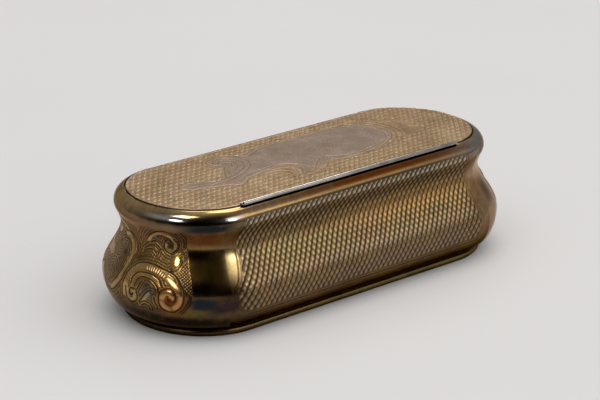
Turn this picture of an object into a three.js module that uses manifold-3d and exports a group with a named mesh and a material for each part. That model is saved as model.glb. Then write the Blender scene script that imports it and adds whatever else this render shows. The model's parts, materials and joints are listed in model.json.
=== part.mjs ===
// Oblong bombe case with a flush hinged lid, in millimetres.
// X runs along the case, the front faces -Y, and the foot stands on Z = 0.
import * as THREE from 'three';
import { mergeVertices } from 'three/addons/utils/BufferGeometryUtils.js';
import Module from 'manifold-3d';

const wasm = await Module();
wasm.setup();

// Plan of the rim, the widest line of the mouth
const rimLength = 90;
const rimWidth = 36.5;
const endReach = 16;

// Side of the case, from the rim down to the foot
const rimHeight = 26.6;
const rimRollWidth = 2.95;
const rimRollHeight = 2.9;
const rimDepth = 3.6;
const neckHeight = 19.4;
const neckDepth = 1.35;
const neckEase = 0.86;
const bellyHeight = 9.3;
const bellyReach = 2.95;
const wallThickness = 0.7;

// Foot band and floor
const footHeight = 2.05;
const footInset = 0.9;
const footWidth = 2.3;
const footEdgeRound = 0.3;
const wallFootInset = 1.15;
const floorThickness = 0.8;
const floorClearance = 0.15;

// Mouth and lid
const lidInset = 2.6;
const lidClearance = 0.25;
const lidThickness = 1;
const lidProud = 0.15;
const lidEdgeChamfer = 0.2;
const ledgeWidth = 1.25;
const flangeClearance = 0.35;
const flangeThickness = 0.6;
const flangeDepth = 2.5;

// Thumb lip along the lid's straight front edge
const lipWidth = 1.6;
const lipOverhang = 0.85;
const lipThickness = 0.6;
const lipReedDepth = 0.14;
const lipHalfLength = 29.5;
const lipEndTaper = 1.1;

// Hinge
const knuckleCount = 9;
const hingeHalfLength = 28.8;
const knuckleRadius = 0.75;
const knuckleFootWidth = 1.1;
const knuckleDrop = 0.6;
const hingeGap = 0.3;
const hingeInset = 1.65;
const pinRadius = 0.35;
const pinClearance = 0.1;
const plugLength = 1.2;
const plugClearance = 0.05;
const boxBearerThickness = 0.55;
const lidBearerWidth = 1.5;
const lidBearerDepth = 1.2;
const bearerClearance = 0.15;
const cornerClearance = 0.06;

// Fineness of the curves
const quarterSteps = 11;
const rollSteps = 9;
const sideSteps = 18;
const knuckleSteps = 22;
const boreSteps = 14;
const lipSteps = 10;

// Places that follow from the sizes
const halfLength = rimLength / 2;
const halfWidth = rimWidth / 2;
const straightHalf = halfLength - endReach;
const rollBase = rimHeight - rimRollHeight;
const seamHeight = rimHeight - rimDepth;
const lidTop = rimHeight + lidProud;
const lidBottom = lidTop - lidThickness;
const seatInset = lidInset - lidClearance;
const mouthInset = seatInset + ledgeWidth;
const flangeInset = mouthInset + flangeClearance;
const hingeY = halfWidth - hingeInset;
const hingeZ = lidTop - knuckleDrop - knuckleRadius;
const swingRadius = knuckleRadius + hingeGap;
const boreRadius = pinRadius + pinClearance;
const boxBearerTop = hingeZ - swingRadius;
const channelFloor = boxBearerTop - boxBearerThickness;
const channelBackY = hingeY + swingRadius;
const knucklePitch = 2 * hingeHalfLength / knuckleCount;

// The lid's back face stands far enough from the hinge line to swing over the rim beside the hinge.
// Its lower back corner moves back as it rises, so the seat is relieved there and at the lid's back corners.
const rimAboveHinge = rimHeight - hingeZ;
const lidBackReach = Math.max(swingRadius, rimAboveHinge + bearerClearance);
const lidBackY = hingeY - lidBackReach;
const lidBearerFrontY = lidBackY - lidBearerWidth;
const backCornerRadius = Math.hypot(lidBackReach, lidBottom - hingeZ);
const backCornerY = hingeY - Math.sqrt(Math.max(0, backCornerRadius ** 2 - rimAboveHinge ** 2));
const seatBackY = backCornerY + bearerClearance;
const seatRelief = Math.max(0, backCornerY - lidBackY - lidClearance) + cornerClearance;

const colours = {
  wall: new THREE.Color(0.42, 0.31, 0.18),
  rim: new THREE.Color(0.52, 0.39, 0.22),
  foot: new THREE.Color(0.62, 0.45, 0.2),
  lid: new THREE.Color(0.5, 0.42, 0.34),
  inside: new THREE.Color(0.72, 0.55, 0.28),
  lip: new THREE.Color(0.6, 0.57, 0.53),
  steel: new THREE.Color(0.45, 0.44, 0.42),
};

function metal(colour, roughness) {
  return new THREE.MeshStandardMaterial({ color: colour, roughness, metalness: 1 });
}

function addMesh(group, name, geometry, colour, roughness = 0.35) {
  const mesh = new THREE.Mesh(geometry, metal(colour, roughness));
  mesh.name = name;
  group.add(mesh);
  return mesh;
}

// A closed geometry from its points and faces
function closedGeometry(positions, faces) {
  const geometry = new THREE.BufferGeometry();
  geometry.setAttribute('position', new THREE.Float32BufferAttribute(positions, 3));
  geometry.setIndex(faces);
  return geometry;
}

function toSolid(geometry) {
  const plain = geometry.clone();
  plain.deleteAttribute('normal');
  plain.deleteAttribute('uv');
  const merged = mergeVertices(plain, 1e-5);
  const vertProperties = new Float32Array(merged.attributes.position.array);
  const triVerts = new Uint32Array(merged.index.array);
  return new wasm.Manifold(new wasm.Mesh({ numProp: 3, vertProperties, triVerts }));
}

function fromSolid(solid) {
  const mesh = solid.getMesh();
  return closedGeometry(Array.from(mesh.vertProperties), Array.from(mesh.triVerts));
}

function cut(geometry, ...tools) {
  let solid = toSolid(geometry);
  for (const tool of tools) {
    solid = solid.subtract(toSolid(tool));
  }
  return fromSolid(solid);
}

// The rounded oblong outline at an offset from the rim, cut straight at the back where a limit is given
function outline(offset, backLimit = Infinity) {
  const acrossHalf = halfWidth + offset;
  const endHalf = endReach + offset;
  const backAngle = Math.asin(Math.min(1, backLimit / acrossHalf));
  const points = [];
  const addArc = (side, from, to) => {
    for (let step = 0; step <= quarterSteps; step += 1) {
      const angle = THREE.MathUtils.lerp(from, to, step / quarterSteps);
      const x = side * (straightHalf + endHalf * Math.cos(angle));
      points.push(new THREE.Vector2(x, acrossHalf * Math.sin(angle)));
    }
  };
  addArc(1, -Math.PI / 2, 0);
  points.pop();
  addArc(1, 0, backAngle);
  addArc(-1, backAngle, 0);
  points.pop();
  addArc(-1, 0, -Math.PI / 2);
  return points;
}

// A closed profile of offsets and heights carried round the outline
function ringSweep(profile) {
  const rings = profile.map(([offset, z]) => outline(offset).map((p) => [p.x, p.y, z]));
  const around = rings[0].length;
  const faces = [];
  for (let level = 0; level < rings.length; level += 1) {
    const nextLevel = (level + 1) % rings.length;
    for (let turn = 0; turn < around; turn += 1) {
      const nextTurn = (turn + 1) % around;
      const a = level * around + turn;
      const b = level * around + nextTurn;
      const c = nextLevel * around + nextTurn;
      const d = nextLevel * around + turn;
      faces.push(a, b, c, a, c, d);
    }
  }
  return closedGeometry(rings.flat(2), faces);
}

// A solid through loops of equal count, closed by a fan at each end
function loft(loops) {
  const around = loops[0].length;
  const last = (loops.length - 1) * around;
  const faces = [];
  for (let turn = 1; turn < around - 1; turn += 1) {
    faces.push(0, turn + 1, turn);
    faces.push(last, last + turn, last + turn + 1);
  }
  for (let level = 0; level < loops.length - 1; level += 1) {
    for (let turn = 0; turn < around; turn += 1) {
      const a = level * around + turn;
      const b = level * around + (turn + 1) % around;
      faces.push(a, b, b + around, a, b + around, a + around);
    }
  }
  return closedGeometry(loops.flat(2), faces);
}

function plateLoop(offset, z, backLimit) {
  return outline(offset, backLimit).map((p) => [p.x, p.y, z]);
}

function block(xHalf, yFrom, yTo, zFrom, zTo) {
  const geometry = new THREE.BoxGeometry(2 * xHalf, yTo - yFrom, zTo - zFrom);
  return geometry.translate(0, (yFrom + yTo) / 2, (zFrom + zTo) / 2);
}

const smoothStep = (t) => t * t * (3 - 2 * t);

// Offset of the case's outer side from the rim at a height: neck, belly and drawn-in lower edge
function sideOffset(z) {
  if (z >= neckHeight) {
    const fall = Math.max(0, rollBase - z) / (rollBase - neckHeight);
    return -neckDepth * smoothStep(fall ** neckEase);
  }
  if (z >= bellyHeight) {
    const fall = (neckHeight - z) / (neckHeight - bellyHeight);
    return THREE.MathUtils.lerp(-neckDepth, bellyReach, smoothStep(fall));
  }
  const fall = Math.min(1, (bellyHeight - z) / (bellyHeight - footHeight));
  const round = 1 - Math.sqrt(1 - fall * fall);
  return bellyReach - (bellyReach + wallFootInset) * round;
}

// Heights for the side, closer together where the belly turns under
function sideHeights(fromZ, toZ) {
  const heights = [];
  const upperSteps = Math.ceil(sideSteps * 0.6);
  const lowerSteps = sideSteps - upperSteps;
  for (let step = 0; step < upperSteps; step += 1) {
    heights.push(THREE.MathUtils.lerp(fromZ, bellyHeight, step / upperSteps));
  }
  for (let step = 0; step <= lowerSteps; step += 1) {
    const angle = (Math.PI / 2) * (step / lowerSteps);
    heights.push(THREE.MathUtils.lerp(bellyHeight, toZ, Math.sin(angle)));
  }
  return heights;
}

function makeBodyWall() {
  const heights = sideHeights(seamHeight, footHeight);
  const outer = heights.map((z) => [sideOffset(z), z]);
  const inner = heights.map((z) => [sideOffset(z) - wallThickness, z]).reverse();
  return ringSweep([...outer, ...inner].reverse());
}

function makeFootBand() {
  const outer = -footInset;
  const inner = outer - footWidth;
  return ringSweep([
    [inner, footHeight],
    [inner, 0],
    [outer - footEdgeRound, 0],
    [outer, footEdgeRound],
    [outer, footHeight - footEdgeRound],
    [outer - footEdgeRound * 0.3, footHeight - footEdgeRound * 0.3],
    [outer - footEdgeRound, footHeight],
  ]);
}

function makeBasePlate() {
  const offset = -wallFootInset - wallThickness - floorClearance;
  return loft([plateLoop(offset, footHeight), plateLoop(offset, footHeight + floorThickness)]);
}

// The rolled rim before the lid's seat and the hinge channel are cut in it
function makeRimBlank() {
  const profile = [
    [-mouthInset, seamHeight],
    [sideOffset(seamHeight), seamHeight],
  ];
  for (let step = 0; step <= rollSteps; step += 1) {
    const angle = (Math.PI / 2) * (step / rollSteps);
    profile.push([-rimRollWidth * (1 - Math.cos(angle)), rollBase + rimRollHeight * Math.sin(angle)]);
  }
  profile.push([-mouthInset, rimHeight]);
  return ringSweep(profile);
}

function makeRim() {
  const above = lidTop + lidThickness;
  const seat = loft([
    plateLoop(-seatInset, lidBottom, seatBackY),
    plateLoop(-seatInset, above, seatBackY),
  ]);
  const relief = loft([
    plateLoop(-seatInset, lidBottom, seatBackY - seatRelief),
    plateLoop(-seatInset, above, seatBackY - seatRelief),
  ]).translate(0, seatRelief, 0);
  const channelFrontY = halfWidth - mouthInset - hingeGap;
  const channel = block(hingeHalfLength + hingeGap, channelFrontY, channelBackY, channelFloor, above);
  return cut(makeRimBlank(), seat, relief, channel);
}

function makeLidPlate() {
  return loft([
    plateLoop(-lidInset, lidBottom, lidBackY),
    plateLoop(-lidInset, lidTop - lidEdgeChamfer, lidBackY),
    plateLoop(-lidInset - lidEdgeChamfer, lidTop, lidBackY),
  ]);
}

// The lid's inner flange, open at the back where the hinge bearers are
function makeLidFlange() {
  const top = lidBottom;
  const bottom = lidBottom - flangeDepth;
  const outer = -flangeInset;
  const inner = outer - flangeThickness;
  const ring = ringSweep([[inner, top], [inner, bottom], [outer, bottom], [outer, top]]);
  const openFrom = lidBearerFrontY - hingeGap;
  return cut(ring, block(halfLength, openFrom, halfWidth, bottom - 1, top + 1));
}

// Section of the thumb lip: an overhanging strip with two reeds on top
function lipSection(scale) {
  const outerY = -(halfWidth - lidInset) - lipOverhang;
  const innerY = outerY + lipWidth;
  const middleY = (outerY + innerY) / 2;
  const half = (lipWidth / 2) * scale;
  const points = [[middleY - half, lidTop], [middleY + half, lidTop]];
  for (let step = 0; step <= lipSteps; step += 1) {
    const along = 1 - 2 * (step / lipSteps);
    const crown = Math.sqrt(Math.max(0, 1 - along ** 4));
    const reed = lipReedDepth * Math.max(0, 1 - Math.abs(along - 0.15) * 5);
    const rise = lipThickness * (0.45 + 0.55 * crown) * scale - reed;
    points.push([middleY + along * half, lidTop + Math.max(rise, 0.1)]);
  }
  return points;
}

function makeThumbLip() {
  const stations = [
    [-lipHalfLength, 0.35],
    [-lipHalfLength + lipEndTaper * 0.25, 0.75],
    [-lipHalfLength + lipEndTaper, 1],
    [lipHalfLength - lipEndTaper, 1],
    [lipHalfLength - lipEndTaper * 0.25, 0.75],
    [lipHalfLength, 0.35],
  ];
  return loft(stations.map(([x, scale]) => lipSection(scale).map(([y, z]) => [x, y, z])));
}

// A knuckle with a flat foot that reaches the bearer that carries it, bored for the pin
function makeKnuckle(footAngle, footReach) {
  const footHalf = knuckleFootWidth / 2;
  const footSpread = Math.asin(footHalf / knuckleRadius);
  const toward = new THREE.Vector2(Math.cos(footAngle), Math.sin(footAngle));
  const across = new THREE.Vector2(-toward.y, toward.x);
  const corner = (side) => toward.clone().multiplyScalar(footReach).addScaledVector(across, side * footHalf);
  const points = [corner(-1), corner(1)];
  for (let step = 0; step <= knuckleSteps; step += 1) {
    const turn = THREE.MathUtils.lerp(footSpread, 2 * Math.PI - footSpread, step / knuckleSteps);
    const angle = footAngle + turn;
    points.push(new THREE.Vector2(knuckleRadius * Math.cos(angle), knuckleRadius * Math.sin(angle)));
  }
  const shape = new THREE.Shape(points);
  const bore = [];
  for (let step = 0; step < boreSteps; step += 1) {
    const angle = 2 * Math.PI * (step / boreSteps);
    bore.push(new THREE.Vector2(boreRadius * Math.cos(angle), boreRadius * Math.sin(angle)));
  }
  shape.holes.push(new THREE.Path(bore));
  const length = knucklePitch - hingeGap;
  const geometry = new THREE.ExtrudeGeometry(shape, { depth: length, bevelEnabled: false });
  const alongX = new THREE.Matrix4().makeBasis(
    new THREE.Vector3(0, 1, 0),
    new THREE.Vector3(0, 0, 1),
    new THREE.Vector3(1, 0, 0),
  );
  return geometry.translate(0, 0, -length / 2).applyMatrix4(alongX);
}

function makeRod(radius, length) {
  const geometry = new THREE.CylinderGeometry(radius, radius, length, boreSteps);
  return geometry.rotateZ(Math.PI / 2);
}

function placeOnHinge(mesh, x) {
  mesh.position.set(x, hingeY, hingeZ);
}

// Knuckles stand in turn on the case and on the lid, and both end ones belong to the case
function addKnuckles(caseGroup, lidGroup) {
  const toCase = -Math.PI / 2;
  const toLid = Math.PI;
  for (let index = 0; index < knuckleCount; index += 1) {
    const onCase = index % 2 === 0;
    const number = Math.floor(index / 2) + 1;
    const name = onCase ? `box_knuckle_${number}` : `lid_knuckle_${number}`;
    const geometry = onCase ? makeKnuckle(toCase, swingRadius) : makeKnuckle(toLid, lidBackReach);
    const mesh = addMesh(onCase ? caseGroup : lidGroup, name, geometry, colours.rim);
    placeOnHinge(mesh, -hingeHalfLength + knucklePitch * (index + 0.5));
  }
}

function addPin(group) {
  const endX = hingeHalfLength - hingeGap / 2;
  const pinHalf = endX - plugLength;
  const pin = addMesh(group, 'hinge_pin', makeRod(pinRadius, 2 * pinHalf), colours.steel, 0.3);
  placeOnHinge(pin, 0);
  for (const [side, name] of [[-1, 'pin_plug_left'], [1, 'pin_plug_right']]) {
    const plug = addMesh(group, name, makeRod(boreRadius - plugClearance, plugLength), colours.rim);
    placeOnHinge(plug, side * (pinHalf + plugLength / 2));
  }
}

function makeCase(lid) {
  const group = new THREE.Group();
  addMesh(group, 'foot_band', makeFootBand(), colours.foot, 0.3);
  addMesh(group, 'base_plate', makeBasePlate(), colours.inside);
  addMesh(group, 'body_wall', makeBodyWall(), colours.wall);
  addMesh(group, 'rim_moulding', makeRim(), colours.rim, 0.3);
  const bearerFrontY = halfWidth - mouthInset;
  const bearerBackY = channelBackY - bearerClearance;
  const bearer = block(hingeHalfLength, bearerFrontY, bearerBackY, channelFloor, boxBearerTop);
  addMesh(group, 'box_hinge_bearer', bearer, colours.inside);
  addKnuckles(group, lid);
  addPin(group);
  return group;
}

function makeLid() {
  const group = new THREE.Group();
  addMesh(group, 'lid_plate', makeLidPlate(), colours.lid);
  addMesh(group, 'lid_flange', makeLidFlange(), colours.inside);
  const bearerBottom = lidBottom - lidBearerDepth;
  const bearer = block(hingeHalfLength, lidBearerFrontY, lidBackY, bearerBottom, lidBottom);
  addMesh(group, 'lid_hinge_bearer', bearer, colours.inside);
  addMesh(group, 'thumb_lip', makeThumbLip(), colours.lip, 0.3);
  return group;
}

const etui = new THREE.Group();
const lid = makeLid();
etui.add(makeCase(lid));
etui.add(lid);

export default etui;
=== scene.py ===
"""Looks for the oblong gilt case: engine-turned sides and lid, engraved scrolls, tarnished silver-gilt."""

import json
import math

import bpy
import numpy as np
from mathutils import Matrix, Vector
from mathutils.kdtree import KDTree


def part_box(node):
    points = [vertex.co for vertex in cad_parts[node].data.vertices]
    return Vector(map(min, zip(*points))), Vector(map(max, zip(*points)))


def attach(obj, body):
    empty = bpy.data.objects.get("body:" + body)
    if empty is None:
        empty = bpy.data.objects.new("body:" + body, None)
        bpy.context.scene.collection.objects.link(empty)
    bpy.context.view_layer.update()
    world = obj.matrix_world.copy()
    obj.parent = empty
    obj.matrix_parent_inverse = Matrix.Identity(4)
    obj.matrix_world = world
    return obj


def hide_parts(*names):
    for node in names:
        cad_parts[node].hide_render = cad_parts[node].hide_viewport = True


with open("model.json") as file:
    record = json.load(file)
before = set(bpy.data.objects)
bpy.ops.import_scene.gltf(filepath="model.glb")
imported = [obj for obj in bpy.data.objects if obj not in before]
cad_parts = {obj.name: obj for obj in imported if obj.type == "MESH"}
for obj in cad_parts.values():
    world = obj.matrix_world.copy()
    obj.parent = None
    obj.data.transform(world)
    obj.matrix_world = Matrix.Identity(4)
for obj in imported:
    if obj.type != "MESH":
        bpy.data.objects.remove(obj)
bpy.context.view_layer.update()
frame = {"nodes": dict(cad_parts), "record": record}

MM = 0.001
TAU = 2 * math.pi


def box_mm(node):
    low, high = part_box(node)
    return np.array(low) / MM, np.array(high) / MM


# Sizes in millimetres, from the frame where it has them
rim_low, rim_high = box_mm("rim_moulding")
lid_low, lid_high = box_mm("lid_plate")
foot_low, foot_high = box_mm("foot_band")
lip_low, lip_high = box_mm("thumb_lip")
bearer_low, bearer_high = box_mm("box_hinge_bearer")
_, knuckle_high = box_mm("lid_knuckle_1")
hinge_place = frame["record"]["behaviour"]["joints"][0]["pos_m"]
RIM_LENGTH = rim_high[0] - rim_low[0]
RIM_WIDTH = rim_high[1] - rim_low[1]
RIM_HEIGHT = rim_high[2]
SEAM_HEIGHT = rim_low[2]
LID_TOP = lid_high[2]
LID_BOTTOM = lid_low[2]
LID_BACK = lid_high[1]
LID_INSET = (RIM_LENGTH - (lid_high[0] - lid_low[0])) / 2
FOOT_HEIGHT = foot_high[2]
FOOT_INSET = (RIM_LENGTH - (foot_high[0] - foot_low[0])) / 2
HINGE_Y = hinge_place[1] / MM
HINGE_Z = hinge_place[2] / MM
HINGE_HALF = bearer_high[0]
KNUCKLE_RADIUS = knuckle_high[2] - HINGE_Z
SWING_RADIUS = HINGE_Z - bearer_high[2]

# Sizes of the case's form
END_REACH = 16.0
ROLL_WIDTH = 2.95
ROLL_HEIGHT = 2.9
NECK_HEIGHT = 19.4
NECK_DEPTH = 1.35
NECK_EASE = 0.86
BELLY_HEIGHT = 9.3
BELLY_REACH = 2.95
WALL_FOOT_INSET = 1.15
WALL_THICKNESS = 0.7
FOOT_WIDTH = 2.3
LID_CLEARANCE = 0.25
LEDGE_WIDTH = 1.25

HALF_LENGTH = RIM_LENGTH / 2
HALF_WIDTH = RIM_WIDTH / 2
STRAIGHT = HALF_LENGTH - END_REACH
ROLL_BASE = RIM_HEIGHT - ROLL_HEIGHT
SEAT_INSET = LID_INSET - LID_CLEARANCE
MOUTH_INSET = SEAT_INSET + LEDGE_WIDTH

# The back of the lid's seat, cleared for the swing of the lid's lower corner
SEAT_MARGIN = 0.15
RELIEF_MARGIN = 0.06
CORNER_RADIUS = math.hypot(HINGE_Y - LID_BACK, LID_BOTTOM - HINGE_Z)
CORNER_BACK = HINGE_Y - math.sqrt(max(0, CORNER_RADIUS ** 2 - (RIM_HEIGHT - HINGE_Z) ** 2))
SEAT_BACK = CORNER_BACK + SEAT_MARGIN
SEAT_RELIEF = CORNER_BACK - LID_BACK - LID_CLEARANCE + RELIEF_MARGIN

# Fineness of the outline and the profile, and where the profile starts under the top of the roll
END_SAMPLES = 400
PROFILE_SAMPLES = 3000
PROFILE_START = 0.3


def smooth(t):
    return t * t * (3 - 2 * t)


def side_offset(z):
    """How far the outer side, rim and all, stands out from the rim's outline at a height."""
    z = np.asarray(z, float)
    rise = np.clip((z - ROLL_BASE) / ROLL_HEIGHT, 0, 1)
    roll = -ROLL_WIDTH * (1 - np.sqrt(1 - rise ** 2))
    fall = np.clip((ROLL_BASE - z) / (ROLL_BASE - NECK_HEIGHT), 0, 1)
    upper = -NECK_DEPTH * smooth(fall ** NECK_EASE)
    fall = np.clip((NECK_HEIGHT - z) / (NECK_HEIGHT - BELLY_HEIGHT), 0, 1)
    middle = -NECK_DEPTH + (BELLY_REACH + NECK_DEPTH) * smooth(fall)
    fall = np.clip((BELLY_HEIGHT - z) / (BELLY_HEIGHT - FOOT_HEIGHT), 0, 1)
    lower = BELLY_REACH - (BELLY_REACH + WALL_FOOT_INSET) * (1 - np.sqrt(1 - fall ** 2))
    side = np.where(z >= NECK_HEIGHT, upper, np.where(z >= BELLY_HEIGHT, middle, lower))
    return np.where(z >= ROLL_BASE, roll, side)


# Length along the rim's outline, from the middle of the front: ends at the middle of the back
end_angles = np.linspace(0, math.pi / 2, END_SAMPLES)
end_steps = np.hypot(np.diff(END_REACH * np.cos(end_angles)), np.diff(HALF_WIDTH * np.sin(end_angles)))
end_lengths = np.concatenate([[0], np.cumsum(end_steps)])
QUARTER = end_lengths[-1]
TIP = STRAIGHT + QUARTER
BACK = 2 * TIP


def wrap(u):
    """A length along the outline, brought between the middle of the back on the left and on the right."""
    return (np.asarray(u, float) + BACK) % (2 * BACK) - BACK


def plan(u, offset):
    """Plan points at a length along the outline, moved out by an offset."""
    u = wrap(u)
    along = np.abs(u)
    on_end = np.clip(along - STRAIGHT, 0, 2 * QUARTER)
    from_tip = np.interp(np.abs(on_end - QUARTER), end_lengths, end_angles)
    angle = np.where(on_end <= QUARTER, -from_tip, from_tip)
    past_end = np.clip(along - STRAIGHT - 2 * QUARTER, 0, None)
    straight_x = np.minimum(along, STRAIGHT) - past_end
    x = np.sign(u) * (straight_x + (END_REACH + offset) * np.cos(angle) * (along > STRAIGHT))
    y = (HALF_WIDTH + offset) * np.sin(angle)
    return x, y


# Heights of the outer side against the length down its profile from the rim's seam
profile_heights = np.linspace(RIM_HEIGHT - PROFILE_START, FOOT_HEIGHT, PROFILE_SAMPLES)
profile_steps = np.hypot(np.diff(side_offset(profile_heights)), np.diff(profile_heights))
profile_lengths = np.concatenate([[0], np.cumsum(profile_steps)])
profile_lengths -= np.interp(-SEAM_HEIGHT, -profile_heights, profile_lengths)
PROFILE_LENGTH = profile_lengths[-1]


def height_at(v):
    return np.interp(v, profile_lengths, profile_heights)


def length_at(z):
    return np.interp(-np.asarray(z, float), -profile_heights, profile_lengths)


# Meshes

def put(name, data):
    """An object in the scene with the data it shows."""
    made = bpy.data.objects.new(name, data)
    bpy.context.scene.collection.objects.link(made)
    return made


def sweep(loops, closed=False):
    """Points and faces through loops of equal count, each closed around: stations, points around, xyz."""
    loops = np.asarray(loops, float)
    stations, around = loops.shape[:2]
    last = stations if closed else stations - 1
    s, k = np.meshgrid(np.arange(last), np.arange(around), indexing="ij")
    s_next = (s + 1) % stations
    k_next = (k + 1) % around
    here, further = s * around, s_next * around
    quads = np.stack([here + k, here + k_next, further + k_next, further + k], -1)
    quads = quads.reshape(-1, 4)
    ends = []
    if not closed:
        ends = [np.arange(around)[::-1], np.arange(around) + (stations - 1) * around]
    return loops.reshape(-1, 3), quads, ends


def make_mesh(name, shape, body, nodes, material, layers, sharp=None):
    """A shaded piece from points in millimetres. It rides on a body and stands for the named nodes."""
    points, quads, ends = shape
    corners = np.concatenate([quads.ravel(), *ends]).astype(np.int32)
    counts = np.concatenate([np.full(len(quads), 4), [len(end) for end in ends]]).astype(np.int32)
    mesh = bpy.data.meshes.new(name)
    mesh.vertices.add(len(points))
    mesh.vertices.foreach_set("co", (points * MM).ravel())
    mesh.loops.add(len(corners))
    mesh.loops.foreach_set("vertex_index", corners)
    mesh.polygons.add(len(counts))
    mesh.polygons.foreach_set("loop_start", (np.cumsum(counts) - counts).astype(np.int32))
    mesh.update(calc_edges=True)
    mesh.validate()
    mesh.shade_smooth()
    for layer, values in layers.items():
        kind, key = ("FLOAT", "value") if values.ndim == 1 else ("FLOAT_COLOR", "color")
        attribute = mesh.attributes.new(layer, kind, "POINT")
        attribute.data.foreach_set(key, values.ravel())
    if sharp is not None:
        mesh.set_sharp_from_angle(angle=math.radians(sharp))
    mesh.materials.append(material)
    piece = put(name, mesh)
    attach(piece, body)
    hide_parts(*nodes)
    return piece


def plain_layers(count):
    """Layers of a piece without cuts, crests or tint."""
    return {"cut": np.zeros(count), "crest": np.zeros(count), "tint": np.zeros((count, 4))}


def grid_layers(cut, crest, tint, plain_rows, plain_cut=0.0, step=1):
    """Layers of a grid of worked points with plain rows after them. A step of -1 turns the rows round."""
    plain = np.zeros((len(cut), plain_rows))
    untinted = np.zeros((*plain.shape, 4))
    parts = {"cut": (cut, plain + plain_cut), "crest": (crest, plain), "tint": (tint, untinted)}
    joined = {key: np.concatenate(pair, 1)[:, ::step] for key, pair in parts.items()}
    return {key: values.reshape(-1, *values.shape[2:]) for key, values in joined.items()}


def surface_normals(grid, rising=False):
    """Unit normals of a grid of points: stations run to the right, rows run down the side or rise."""
    across = np.gradient(grid, axis=0)
    down = np.gradient(grid, axis=1) * (-1 if rising else 1)
    normals = np.cross(down, across)
    return normals / np.linalg.norm(normals, axis=-1, keepdims=True)


def prism(name, plan_points, low, high):
    """A plain upright cutter, deleted after its cut."""
    points = [(x * MM, y * MM, z * MM) for z in (low, high) for x, y in plan_points]
    count = len(plan_points)
    faces = [tuple(range(count))[::-1], tuple(range(count, 2 * count))]
    faces += [(k, (k + 1) % count, (k + 1) % count + count, k + count) for k in range(count)]
    mesh = bpy.data.meshes.new(name)
    mesh.from_pydata(points, [], faces)
    return put(name, mesh)


def cut_away(piece, cutters):
    """Applies boolean cuts to a piece's own mesh and deletes the cutters."""
    for cutter in cutters:
        modifier = piece.modifiers.new(cutter.name, "BOOLEAN")
        modifier.operation = "DIFFERENCE"
        modifier.solver = "EXACT"
        modifier.object = cutter
    graph = bpy.context.evaluated_depsgraph_get()
    result = bpy.data.meshes.new_from_object(piece.evaluated_get(graph))
    piece.modifiers.clear()
    piece.data = result
    for cutter in cutters:
        bpy.data.objects.remove(cutter)


# Materials

def fill(tree, made, inputs):
    """Links the inputs of a shader node to sockets, or sets them to numbers, vectors and colours."""
    for key, value in inputs.items():
        socket = made.inputs[key]
        if isinstance(value, bpy.types.NodeSocket):
            tree.links.new(value, socket)
        else:
            socket.default_value = (*value, 1) if socket.type == "RGBA" else value


def node(tree, kind, inputs=None, **settings):
    made = tree.nodes.new(kind)
    for key, value in settings.items():
        setattr(made, key, value)
    fill(tree, made, inputs or {})
    return made


def mix_colour(tree, factor, first, second, blend="MIX"):
    inputs = {0: factor, 6: first, 7: second}
    return node(tree, "ShaderNodeMix", inputs, data_type="RGBA", blend_type=blend).outputs[2]


def math_node(tree, operation, first, second, clamp=False):
    inputs = {0: first, 1: second}
    return node(tree, "ShaderNodeMath", inputs, operation=operation, use_clamp=clamp).outputs[0]


def noise(tree, where, scale, detail=3.0, roughness=0.55, distortion=0.0):
    inputs = {"Vector": where, "Scale": scale, "Detail": detail, "Roughness": roughness,
              "Distortion": distortion}
    return node(tree, "ShaderNodeTexNoise", inputs).outputs["Fac"]


def ramp(tree, factor, stops):
    made = node(tree, "ShaderNodeValToRGB", {"Fac": factor})
    elements = made.color_ramp.elements
    while len(elements) < len(stops):
        elements.new(0.5)
    for element, (place, colour) in zip(elements, stops):
        element.position = place
        element.color = (*colour, 1)
    return made.outputs["Color"]


def span(tree, value, low, high, to_low=0.0, to_high=1.0):
    inputs = {"Value": value, "From Min": low, "From Max": high, "To Min": to_low, "To Max": to_high}
    return node(tree, "ShaderNodeMapRange", inputs).outputs["Result"]


def layer_value(tree, name, output="Fac"):
    return node(tree, "ShaderNodeAttribute", attribute_name=name).outputs[output]


# Noises of the tarnish: scale, detail, roughness and distortion
CLOUDS = (60, 4, 0.6, 0.8)
BLOTCHES = (230, 5, 0.65, 0.3)
PATCHES = (105, 5, 0.62, 1.2)
SPECKLES = (2400, 3, 0.6)
SCRATCHES = (1500, 4, 0.7)
# What a span of noise turns into: from low and high, to low and high
BLOTCHY_COVER = (0.32, 0.52, 0.85, 1.1)
SPECKLED = (0.35, 0.7, 0.88, 1.08)
CLOUD_SHARE = 0.65
PATINA_SPAN = (0.36, 0.64)
PATCH_SHIFT = (0.31, 0.17, 0.05)
# Crests lighten with wear and painted highlight; cuts darken with grime and painted shade and grow rougher
CREST_WEAR_AND_HIGHLIGHT = 0.6
CUT_GRIME_AND_SHADE = 0.94
CUT_ROUGHNESS = 0.3
BLOTCHY_ROUGHNESS = (0.3, 0.7)
SMOOTHER = 0.03
ROUGHER = 0.07
SCRATCH_DEPTH = 0.00001
GRAZE_HUE = (1, 0.88, 0.76)
# Colour of the grime and painted shade in the cuts
GRIME_AND_SHADE = (0.026, 0.014, 0.005)


def patina_colour(tree, where, blotches, hues, patches):
    """Clouds of patina in a row of hues, partly covered by patches of other tarnish."""
    clouds = math_node(tree, "MULTIPLY", noise(tree, where, *CLOUDS), CLOUD_SHARE)
    patina = math_node(tree, "ADD", clouds, math_node(tree, "MULTIPLY", blotches, 1 - CLOUD_SHARE))
    colour = ramp(tree, patina, list(zip(np.linspace(*PATINA_SPAN, len(hues)), hues)))
    shifted = node(tree, "ShaderNodeMapping", {"Vector": where, "Location": PATCH_SHIFT}).outputs["Vector"]
    patch = ramp(tree, noise(tree, shifted, *PATCHES), PATCH_HUES)
    return mix_colour(tree, patches, colour, patch)


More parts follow.
